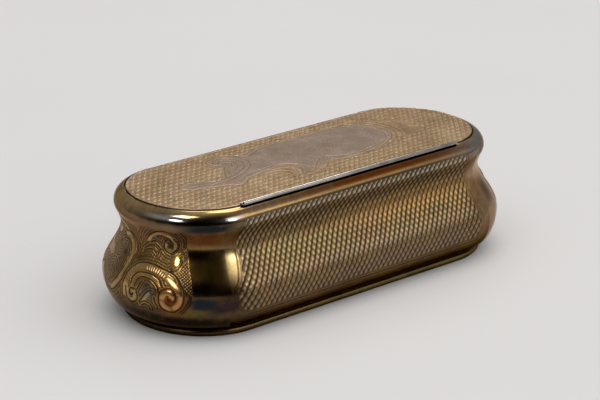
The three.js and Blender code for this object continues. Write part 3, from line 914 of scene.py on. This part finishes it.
def arc_points(centre, radius_x, radius_z, start, end, steps):
    angles = np.radians(np.linspace(start, end, steps))
    return [(centre[0] + radius_x * math.cos(a), centre[1] + radius_z * math.sin(a)) for a in angles]


def rim_stations():
    """Lengths round the rim, close together along the turned panels."""
    half = RIM_PANEL_HALF
    panel = np.arange(-half, half, PANEL_STEPS[0])
    ends = np.linspace(half, BACK - half, int((BACK - 2 * half) / RIM_END_STEP))[:-1]
    return np.concatenate([panel, ends, BACK + panel, BACK + ends])


def rim_profile():
    """Offsets and heights of the rim's outer face, up from the seam and over the roll."""
    turned_rows = np.linspace(0, float(length_at(PANEL_TOP + TOP_FADE)), RIM_TURNED_ROWS)
    heights = list(height_at(turned_rows))
    offsets = [float(side_offset(z)) for z in heights]
    start = math.degrees(math.asin((heights[-1] - ROLL_BASE) / ROLL_HEIGHT))
    for angle in np.radians(np.linspace(start, 90, ROLL_ROWS))[1:]:
        offsets.append(-ROLL_WIDTH * (1 - math.cos(angle)))
        heights.append(ROLL_BASE + ROLL_HEIGHT * math.sin(angle))
    return list(zip(offsets, heights))


def rim_relief(u, z):
    """Top of the turned panels where they run up on the rim, front and back."""
    v = length_at(z)
    front = side_panel(u, z, v, 0.0)
    back = side_panel(wrap(u - BACK), z, v, 0.0)
    return [np.where(np.abs(u) < TIP, a, b) for a, b in zip(front, back)]


def make_rim():
    stations = rim_stations()
    profile = rim_profile()
    outer = ring_loops(profile, stations)
    u, z = np.meshgrid(wrap(stations), [height for _, height in profile], indexing="ij")
    raise_by, cut, crest = rim_relief(u, z)
    outer = outer + surface_normals(outer, True) * raise_by[..., None]
    inner = ring_loops([(-MOUTH_INSET, RIM_HEIGHT), (-MOUTH_INSET, SEAM_HEIGHT)], stations)
    shape = sweep(np.concatenate([outer, inner], 1)[:, ::-1], closed=True)
    tint = tint_layer(u.shape, SIDE_WASHES + RIM_WASHES, u, z)
    layers = grid_layers(cut, crest, tint, inner.shape[1], step=-1)
    rim = make_mesh("rim", shape, "box", ["rim_moulding"], rim_gilt, layers)
    cut_seat(rim)
    rim.data.set_sharp_from_angle(angle=math.radians(35))
    darken_seat(rim.data)


def cut_seat(rim):
    """Cuts the lid's seat, its relief beside the hinge and the hinge channel."""
    above = LID_TOP + CUTTER_RISE
    near = HALF_WIDTH - MOUTH_INSET - CUT_OVERRUN
    far = HINGE_Y + SWING_RADIUS
    half = HINGE_HALF + CHANNEL_CLEARANCE
    channel = [(-half, near), (half, near), (half, far), (-half, far)]
    cut_away(rim, [prism("seat", seat_outline(0), LID_BOTTOM, above),
                   prism("relief", seat_outline(SEAT_RELIEF), LID_BOTTOM, above),
                   prism("channel", channel, bearer_low[2], above)])


def seat_outline(back_by):
    """The lid's seat in plan, cut straight at the back beside the hinge and moved back by a distance."""
    stations = outline_stations(SEAT_STEP)
    x, y = plan(stations, np.full(stations.shape, -SEAT_INSET))
    y = np.minimum(y, SEAT_BACK - back_by) + back_by
    return list(zip(x, y))


def darken_seat(mesh):
    """Painted shade in the joint round the lid, over the rim's seat under the lid's edge."""
    places = np.empty(len(mesh.vertices) * 3)
    mesh.vertices.foreach_get("co", places)
    x, y, _ = places.reshape(-1, 3).T / MM
    reach = SEAT_INSET - JOINT_REACH
    past = np.clip(np.abs(x) - STRAIGHT, 0, None) / (END_REACH - reach)
    inside = past ** 2 + (y / (HALF_WIDTH - reach)) ** 2 < 1
    cut = np.empty(len(mesh.vertices))
    mesh.attributes["cut"].data.foreach_get("value", cut)
    mesh.attributes["cut"].data.foreach_set("value", np.where(inside, JOINT_SHADE, cut))


FOOT_ROUND = 0.75
FOOT_ROUND_HEIGHT = 0.8
# Arcs: from and to in degrees, and points
FOOT_ROUND_ARC = (-65, 75, 16)
CAVETTO_ARC = (245, 180, 6)
FOOT_FLAT_INSET = 0.5
CAVETTO = (0.42, 0.4)
CAVETTO_INSET = 0.3
CAVETTO_DROP = 0.05


def make_foot():
    """The foot band: a rounded moulding under a narrow cavetto."""
    outer, inner = -FOOT_INSET, -FOOT_INSET - FOOT_WIDTH
    profile = [(inner, FOOT_HEIGHT), (inner, 0), (outer - FOOT_FLAT_INSET, 0)]
    profile += arc_points((outer - FOOT_ROUND, FOOT_ROUND_HEIGHT), FOOT_ROUND, FOOT_ROUND, *FOOT_ROUND_ARC)
    profile += arc_points((outer - CAVETTO_INSET, FOOT_HEIGHT - CAVETTO_DROP), *CAVETTO, *CAVETTO_ARC)
    profile += [(outer - FOOT_ROUND, FOOT_HEIGHT)]
    shape = sweep(ring_loops(profile[::-1], outline_stations(FOOT_STEP)), closed=True)
    x, _, z = shape[0].T
    layers = {**plain_layers(len(x)), "tint": tint_layer(x.shape, FOOT_WASHES, x, z)}
    make_mesh("foot", shape, "box", ["foot_band"], foot_gilt, layers, sharp=50)


# The plain field of the lid with its scrolled border, as places in plan
FIELD = [(-12.2, 9.9), (-9, 9), (-6, 10.5), (-2, 11.3), (3, 11.1), (12, 11.3), (17, 11), (20.4, 9.9),
         (23, 7.6), (24.3, 4.2), (24.2, 0.2), (22.5, -2.6), (20, -4.6), (16, -6.3), (11, -7.3), (7, -7.6),
         (4, -7.2), (2, -6.4), (0.6, -7), (-1.2, -8.8), (-4, -10.1), (-6.6, -10.5), (-7.8, -9.2), (-6, -6.4),
         (-5.6, -4.2), (-7, -2.6), (-10, -2.3), (-14, -2.9), (-18, -4), (-20, -5.5), (-22, -6), (-24, -4.5),
         (-27, -3.5), (-31, -2), (-32.8, 0.1), (-31.2, 2.2), (-28.4, 2.3), (-26.8, 0.6), (-24.6, -1),
         (-21.6, -0.4), (-19.4, 2.6), (-17.4, 5.6), (-18.4, 7.4), (-18.9, 9.4), (-17.2, 11.2), (-14.4, 11.4)]
LID_LINES = [
    FIELD + FIELD[:1],
    [(-19.9, 7.6), (-19.5, 10.4), (-17, 12), (-13.8, 11.9), (-11.6, 9.9), (-10.9, 6.6), (-12.2, 3),
     (-15.6, 0.2), (-20.5, -1.6), (-26, -2.3)],
    [(-17.9, 8.6), (-16.6, 10.2), (-14.6, 10.1), (-12.9, 8.6), (-12.3, 6.2), (-13.7, 3.2), (-17, 0.9),
     (-21.5, -0.6)],
    [(-17.2, 7.6), (-16, 9), (-14.6, 8.6), (-13.8, 6.6), (-14.9, 4), (-17.6, 2)],
    [(-16.4, 6.6), (-15.4, 7.4), (-14.9, 6.2), (-15.9, 4.6)],
    [(20.9, 10.9), (24.2, 8.4), (25.6, 4.6), (25.4, 0.2), (23.4, -3.2), (20.2, -5.6), (15.5, -7.2),
     (9.5, -8.1)],
    [(22.3, 11.2), (25.6, 8.6), (27, 4.7), (26.6, -0.2), (24.3, -4.2), (20.8, -6.6)],
    [(19.2, 9.4), (21.8, 7.2), (23, 4), (22.8, 0.4), (21, -2.4)],
    [(-19.6, -3.5), (-16.5, -1.9), (-12.5, -1.2), (-9.2, -1.2), (-6.3, -2.4), (-4.4, -4.6), (-4.6, -7.4)],
    [(-15.5, -3.7), (-12, -3.2), (-9, -3.6), (-7.4, -5.4), (-7.6, -7.4)],
    [(-13, -4.6), (-10.4, -4.6), (-9.2, -6.2), (-9.6, -8)],
    [(1.4, -3.5), (-0.8, -5.3), (-2.6, -7), (-4.4, -8.9)],
    [(2.6, -5), (3.6, -6.7), (5.4, -8), (7.8, -8.8)],
    [(3, -3.6), (4.6, -5), (7.2, -6.1), (11, -6.2), (15.4, -5.3), (19, -3.9)],
    [(-11.2, 8.9), (-8.8, 7.9), (-6, 9.2), (-2.5, 10.3), (3, 10.2), (12, 10.4), (16.6, 10.1)],
    [(-30.2, 0.9), (-29, 1.4), (-28, 0.6), (-28.6, -0.8), (-30.4, -0.8)],
    [(26.6, 5.4), (28.2, 6), (29.8, 4.6), (29.6, 2.4), (28, 1.6), (27.1, 2.8), (28.1, 3.7)],
    [(25.9, -1.2), (28, -0.3), (30.4, -0.6), (31.8, -2.2), (31, -4), (29.2, -3.8)],
    [(26.9, 7.2), (29.6, 7.4), (31.6, 5.8)],
]
# Reserves of the lid beside its field, which stay plain round the scrolls
LID_RESERVES = [
    [(22.5, 11.4), (27.4, 8.8), (31.5, 6.4), (31.9, -3.5), (28.4, -4.6), (24.0, -5.0)],
    [(-20.2, 7.4), (-20, 11), (-16, 12.4), (-11.8, 11.4), (-10, 8), (-12, 2.6), (-17.4, 4)],
    [(-14, -3), (-9, -0.9), (-5.4, -2), (-3.6, -4.6), (-4.2, -8), (-9.4, -8.6), (-11, -5.6)],
]
FIELD_TINT = (0.27, 0.215, 0.19)
FIELD_COVER = 0.8
FIELD_FRONT = -8.7
FIELD_FADE = 1.5
FIELD_SOFTNESS = 9
FIELD_DEPTH = 0.04
LID_FAINTNESS = 0.62
LID_LINE_WIDTH = 0.6
LID_LINE_DEPTH = 0.05
LID_LINE_REACH = 0.5
LID_LINE_STEP = 0.15
FIELD_STEP = 0.8
BURR_START = 0.28
BURR_MOST = 0.4
BURR_RISE = 0.04
# Height of a row of grains where it is least, how much it grows and over which length from its place
ROW_LEAST = 1.64
ROW_GROWTH = 0.22
ROW_PLACE = 8
ROW_REACH = 44


def soften(values, reach):
    """Average of each value with its neighbours within the reach, along both directions of the grid."""
    for axis in (0, 1):
        shifted = [np.roll(values, step, axis) for step in range(-reach, reach + 1)]
        values = sum(shifted) / len(shifted)
    return values


def distance_to_places(lines, x, y, reach):
    """Distance of scattered places from the nearest line, to no more than a reach."""
    samples = np.concatenate([curve(line, LID_LINE_STEP) for line in lines])
    tree = KDTree(len(samples))
    for index, (a, b) in enumerate(samples):
        tree.insert((a, b, 0), index)
    tree.balance()
    away = np.full(x.shape, float(reach))
    left, front = samples.min(0) - 1
    right, back = samples.max(0) + 1
    near = (x > left) & (x < right) & (y > front) & (y < back)
    away[near] = [tree.find((a, b, 0))[2] for a, b in zip(x[near], y[near])]
    return np.minimum(away, reach)


def lid_relief(x, y):
    """Turned work of the lid round its plain field: raise, cut, crest and the tarnish of the field."""
    row = ROW_LEAST + ROW_GROWTH * ((x - ROW_PLACE) / ROW_REACH) ** 2
    layers = turned_work(x / LID_GRAIN_WIDTH, -y / row, LID_CROSSING, slant=0)
    raised, cuts, crests = [layer * LID_FAINTNESS for layer in layers]
    in_field = within_outline(curve(FIELD + FIELD[:1], FIELD_STEP), x, y)
    plain = in_field.copy()
    for outline in LID_RESERVES:
        plain |= within_outline(outline, x, y)
    from_line = distance_to_places(LID_LINES, x, y, LID_LINE_REACH)
    engraved = groove(from_line, LID_LINE_WIDTH)
    # The raised burr beside each line is lightened in the crest layer: a painted highlight
    burr = np.clip(LID_LINE_REACH - from_line, 0, BURR_MOST) * (from_line > BURR_START)
    tarnish = np.zeros((*x.shape, 4))
    tarnish[..., :3] = FIELD_TINT
    cover = np.clip((y - FIELD_FRONT) / FIELD_FADE, 0, FIELD_COVER)
    tarnish[..., 3] = soften(in_field, FIELD_SOFTNESS) * cover
    raised = ~plain * raised - plain * FIELD_DEPTH - engraved * LID_LINE_DEPTH + burr * BURR_RISE
    return raised, np.maximum(~plain * cuts, engraved), np.maximum(~plain * crests, burr * 2), tarnish


EDGE_ROUND = 0.25
# Rows over the rounded edge, as shares of its width
EDGE_STEPS = np.array([0, 0.16, 0.4, 0.68, 1])
# Painted shade along the lid's edge and over its underside: darkness, and width of the band at the edge
EDGE_SHADE = 0.9
EDGE_SHADE_WIDTH = 0.05
UNDER_ROWS = 6
LID_INNER_ROWS = 150
LID_STRAIGHT_COLUMNS = 384
LID_END_COLUMNS = 100
LID_END_TURN = 88.5
RELIEF_START = 0.3
RELIEF_FADE = 0.2


def lid_columns():
    """Places of the lid's columns along the case, close together at its round ends."""
    angles = np.radians(np.linspace(0, LID_END_TURN, LID_END_COLUMNS))[1:]
    right = STRAIGHT + (END_REACH - LID_INSET) * np.sin(angles)
    straight = np.linspace(-STRAIGHT, STRAIGHT, LID_STRAIGHT_COLUMNS)
    return np.concatenate([-right[::-1], straight, right])


def lid_reach(x):
    """Front and back edge of the lid at places along the case."""
    past = np.clip((np.abs(x) - STRAIGHT) / (END_REACH - LID_INSET), 0, 1)
    half = (HALF_WIDTH - LID_INSET) * np.sqrt(1 - past ** 2)
    return -half[:, None], np.minimum(half, LID_BACK)[:, None]


def lid_rows(front, back):
    """Rows of the lid's face from its front edge to its back edge, close together at both."""
    edge = np.minimum(EDGE_ROUND, (back - front) / 4)
    low_edge = front + edge * EDGE_STEPS
    high_edge = back - edge * EDGE_STEPS[::-1]
    share = np.linspace(0, 1, LID_INNER_ROWS)
    inside = low_edge[:, -1:] + (high_edge[:, :1] - low_edge[:, -1:]) * share
    return np.concatenate([low_edge[:, :-1], inside, high_edge[:, 1:]], 1)


def edge_drop(gap):
    """How far the face drops over the rounded edge, at a distance from it."""
    return EDGE_ROUND * (1 - np.sqrt(1 - (1 - np.clip(gap / EDGE_ROUND, 0, 1)) ** 2))


def make_lid():
    columns = lid_columns()
    front, back = lid_reach(columns)
    y = lid_rows(front, back)
    x = np.broadcast_to(columns[:, None], y.shape)
    raise_by, cut, crest, tarnish = lid_relief(x, y)
    tip_gap = STRAIGHT + END_REACH - LID_INSET - np.abs(x)
    gap = np.minimum(np.minimum(y - front, back - y), tip_gap)
    fade = np.clip((gap - RELIEF_START) / RELIEF_FADE, 0, 1)
    top = np.stack([x, y, LID_TOP + raise_by * fade - edge_drop(gap)], -1)
    under_y = front + (back - front) * np.linspace(1, 0, UNDER_ROWS)
    under_x = np.broadcast_to(columns[:, None], under_y.shape)
    under = np.stack([under_x, under_y, np.full(under_y.shape, LID_BOTTOM)], -1)
    shape = sweep(np.concatenate([top, under], 1)[:, ::-1])
    # Painted shade in a thin band along the lid's edge, and over its underside
    cut = np.maximum(cut * fade, EDGE_SHADE * (gap < EDGE_SHADE_WIDTH))
    layers = grid_layers(cut, crest * fade, tarnish, UNDER_ROWS, EDGE_SHADE, step=-1)
    make_mesh("lid", shape, "lid", ["lid_plate"], lid_gilt, layers, sharp=60)


# The thumb lip, as shares of its depth and height: middle and half width of its bead and its reed
BEAD = (0.27, 0.27)
REED = (0.76, 0.13)
REED_HEIGHT = 0.5
LIP_LEAST = 0.12
LIP_END_LENGTH = 0.8
LIP_END_HEIGHT = 0.45
LIP_POINTS = 40
LIP_END_POINTS = 10


def hump(across, middle, half):
    """A round rise, 1 at its middle and 0 from its half width on."""
    return np.sqrt(np.clip(1 - ((across - middle) / half) ** 2, 0, 1))


def make_lip():
    """The thumb lip: a rounded bead outside, a thin reed inside it, and rounded ends."""
    outer_y, inner_y = lip_low[1], lip_high[1]
    base, top = lip_low[2], lip_high[2]
    half = lip_high[0]
    across = (1 - np.cos(np.linspace(0, math.pi, LIP_POINTS))) / 2
    height = np.maximum(np.maximum(hump(across, *BEAD), REED_HEIGHT * hump(across, *REED)), LIP_LEAST)
    turns = np.radians(np.linspace(0, 90, LIP_END_POINTS))
    from_end = LIP_END_LENGTH * (1 - np.sin(turns))[::-1]
    widths = np.maximum(np.cos(turns), LIP_LEAST)[::-1]
    places = np.concatenate([from_end - half, half - from_end[::-1]])
    loops = []
    for x, width in zip(places, np.concatenate([widths, widths[::-1]])):
        ys = (outer_y + inner_y) / 2 + (inner_y - outer_y) * width * (across - 0.5)
        zs = base + (top - base) * height * (LIP_END_HEIGHT + (1 - LIP_END_HEIGHT) * width)
        loop = [(x, y, z) for y, z in zip(ys, zs)]
        loops.append(loop + [(x, ys[-1], base), (x, ys[0], base)])
    shape = sweep(np.array(loops)[:, ::-1])
    make_mesh("thumb_lip_reeded", shape, "lid", ["thumb_lip"], lip_silver,
              plain_layers(len(shape[0])), sharp=35)


# Hinge

KNUCKLE_CHAMFER = 0.1
KNUCKLE_BORE = 0.45
KNUCKLE_FOOT_HALF = 0.55
KNUCKLE_TURN = 5
LEAST_SHARE = 1e-3


def knuckle_reach(angles, body):
    """Reach of a knuckle at each angle: round, with a foot towards the bearer it is soldered to."""
    toward, foot_reach = (-90, SWING_RADIUS) if body == "box" else (180, HINGE_Y - LID_BACK)
    turn = angles - math.radians(toward)
    beside = KNUCKLE_FOOT_HALF / np.maximum(np.abs(np.sin(turn)), LEAST_SHARE)
    foot = np.minimum(foot_reach / np.maximum(np.cos(turn), LEAST_SHARE), beside)
    return np.where(np.cos(turn) > 0, np.maximum(KNUCKLE_RADIUS, foot), KNUCKLE_RADIUS)


def make_knuckle(name, body):
    (left, *_), (right, *_) = box_mm(name)
    angles = np.radians(np.arange(0, 360, KNUCKLE_TURN))
    loops = []
    for angle, radius in zip(angles, knuckle_reach(angles, body)):
        chamfered = radius - KNUCKLE_CHAMFER
        stations = [(left, KNUCKLE_BORE), (left, chamfered), (left + KNUCKLE_CHAMFER, radius),
                    (right - KNUCKLE_CHAMFER, radius), (right, chamfered), (right, KNUCKLE_BORE)]
        y, z = math.cos(angle), math.sin(angle)
        loops.append([(x, HINGE_Y + r * y, HINGE_Z + r * z) for x, r in stations])
    shape = sweep(np.array(loops), closed=True)
    layers = plain_layers(len(shape[0]))
    make_mesh(name + "_turned", shape, body, [name], rim_gilt, layers, sharp=30)


def finish_cad_nodes():
    """Materials of the solids that have no finer shape here."""
    inner = ("base_plate", "box_hinge_bearer", "lid_hinge_bearer", "lid_flange")
    materials = {**dict.fromkeys(inner, inner_gilt), "hinge_pin": pin_steel,
                 "pin_plug_left": rim_gilt, "pin_plug_right": rim_gilt}
    for name, material in materials.items():
        part = frame["nodes"][name]
        part.data.materials.clear()
        part.data.materials.append(material)


# Studio

# Softboxes: azimuth, elevation, width and height in metres, and the radiance of their face
SOFTBOXES = {
    "left_low_box": (-82, 31, (0.16, 0.14), 9.0),
    "left_high_box": (-90, 64, (0.22, 0.2), 8.0),
    "top_box": (118, 66, (0.24, 0.2), 4.0),
    "right_box": (19, 36, (0.46, 0.3), 1.5),
    "edge_box": (2, 28, (0.12, 0.12), 8.5),
    "back_box": (136, 46, (0.3, 0.2), 7.0),
}
LAMP_DISTANCE = 0.7
LAMP_TARGET = Vector((0, 0, 0.013))
# Greys of the room as metal sees it
ROOM_FRONT = (0.33, 0.32, 0.31)
ROOM_BEHIND = (0.64, 0.63, 0.62)
ROOM_SHADE = (0.01, 0.009, 0.008)
ROOM_GLOW = (0.64, 0.62, 0.6)
# Places of the room: azimuth, elevation, and how far a ray faces them from none to all
BEHIND_CASE = (145, 8, 0.2, 0.85)
FRONT_LEFT = (-33, 27, 0.4, 0.9)
TO_RIGHT = (90, 0, 0.05, 0.4)
TO_FRONT = (0, 0, 0.05, 0.4)
UPWARD = (0, 90, -0.05, 0.25)
HIGH_DAYLIGHT = (5, 68, 0.25, 1.0)
# Daylight on everything matt, from low to high
DAYLIGHT_LOW = (0.06, 0.057, 0.057)
DAYLIGHT_HIGH = (1.78, 1.77, 1.76)
PAPER = ((0.76, 0.745, 0.74), (0.745, 0.73, 0.722))
PAPER_CLOUDS = (9, 3)
PAPER_SPAN = (0.3, 0.7)
FLOOR_HALF = 4.0
CAMERA_PLACE = (-0.28251, -0.34463, 0.17334)
CAMERA_AZIMUTH = -39.2
CAMERA_ELEVATION = 19.376
CAMERA_ROLL = -1.207
CAMERA_LENS = 132.77


def direction(azimuth, elevation):
    """Azimuth 0 is in front of the case and grows to its right."""
    a, e = math.radians(azimuth), math.radians(elevation)
    return Vector((math.sin(a) * math.cos(e), -math.cos(a) * math.cos(e), math.sin(e)))


def make_lights():
    for name, (azimuth, elevation, size, radiance) in SOFTBOXES.items():
        data = bpy.data.lights.new(name, "AREA")
        data.shape = "RECTANGLE"
        data.size, data.size_y = size
        data.energy = radiance * math.pi * size[0] * size[1]
        lamp = put(name, data)
        lamp.location = direction(azimuth, elevation) * LAMP_DISTANCE
        lamp.rotation_euler = (LAMP_TARGET - lamp.location).to_track_quat("-Z", "Y").to_euler()
        lamp.visible_camera = False
        lamp.visible_diffuse = False


def make_world():
    """A pale room that metal sees as grey, light behind the case and dark towards its front left."""
    world = bpy.data.worlds.new("studio")
    bpy.context.scene.world = world
    world.use_nodes = True
    tree = world.node_tree
    where = node(tree, "ShaderNodeTexCoord").outputs["Generated"]

    def facing(azimuth, elevation, low, high):
        inputs = {0: where, 1: direction(azimuth, elevation)}
        dot = node(tree, "ShaderNodeVectorMath", inputs, operation="DOT_PRODUCT")
        return span(tree, dot.outputs["Value"], low, high)

    room = mix_colour(tree, facing(*BEHIND_CASE), ROOM_FRONT, ROOM_BEHIND)
    room = mix_colour(tree, facing(*FRONT_LEFT), room, ROOM_SHADE)
    to_right_and_front = math_node(tree, "MULTIPLY", facing(*TO_RIGHT), facing(*TO_FRONT))
    glow = math_node(tree, "MULTIPLY", to_right_and_front, facing(*UPWARD))
    room = mix_colour(tree, glow, room, ROOM_GLOW)
    daylight = mix_colour(tree, facing(*HIGH_DAYLIGHT), DAYLIGHT_LOW, DAYLIGHT_HIGH)
    glossy = node(tree, "ShaderNodeLightPath").outputs["Is Glossy Ray"]
    seen = mix_colour(tree, glossy, daylight, room)
    fill(tree, tree.nodes["Background"], {"Color": seen, "Strength": 1.0})


def make_floor():
    mesh = bpy.data.meshes.new("floor")
    corners = [(x * FLOOR_HALF, y * FLOOR_HALF, 0) for x, y in ((-1, -1), (1, -1), (1, 1), (-1, 1))]
    mesh.from_pydata(corners, [], [(0, 1, 2, 3)])
    floor = put("floor", mesh)
    material = bpy.data.materials.new("pale_paper")
    material.use_nodes = True
    tree = material.node_tree
    where = node(tree, "ShaderNodeTexCoord").outputs["Object"]
    clouds = span(tree, noise(tree, where, *PAPER_CLOUDS), *PAPER_SPAN)
    colour = mix_colour(tree, clouds, *PAPER)
    inputs = {"Base Color": colour, "Roughness": 0.7, "Specular IOR Level": 0.2}
    fill(tree, tree.nodes["Principled BSDF"], inputs)
    mesh.materials.append(material)


def make_camera():
    data = bpy.data.cameras.new("camera")
    data.lens = CAMERA_LENS
    data.sensor_width = 36
    data.sensor_fit = "HORIZONTAL"
    data.clip_start = 0.01
    camera = put("camera", data)
    back = direction(CAMERA_AZIMUTH, CAMERA_ELEVATION)
    right = Vector((0, 0, 1)).cross(back).normalized()
    up = back.cross(right)
    roll = math.radians(CAMERA_ROLL)
    turned_right = right * math.cos(roll) + up * math.sin(roll)
    turned_up = up * math.cos(roll) - right * math.sin(roll)
    axes = Matrix((turned_right, turned_up, back)).transposed()
    camera.matrix_world = Matrix.Translation(CAMERA_PLACE) @ axes.to_4x4()
    bpy.context.scene.camera = camera


make_camera()
make_world()
make_lights()
make_floor()
make_sides()
make_rim()
make_foot()
make_lid()
make_lip()
for number in range(1, 6):
    make_knuckle(f"box_knuckle_{number}", "box")
for number in range(1, 5):
    make_knuckle(f"lid_knuckle_{number}", "lid")
finish_cad_nodes()
bpy.context.scene.view_settings.view_transform = "Standard"
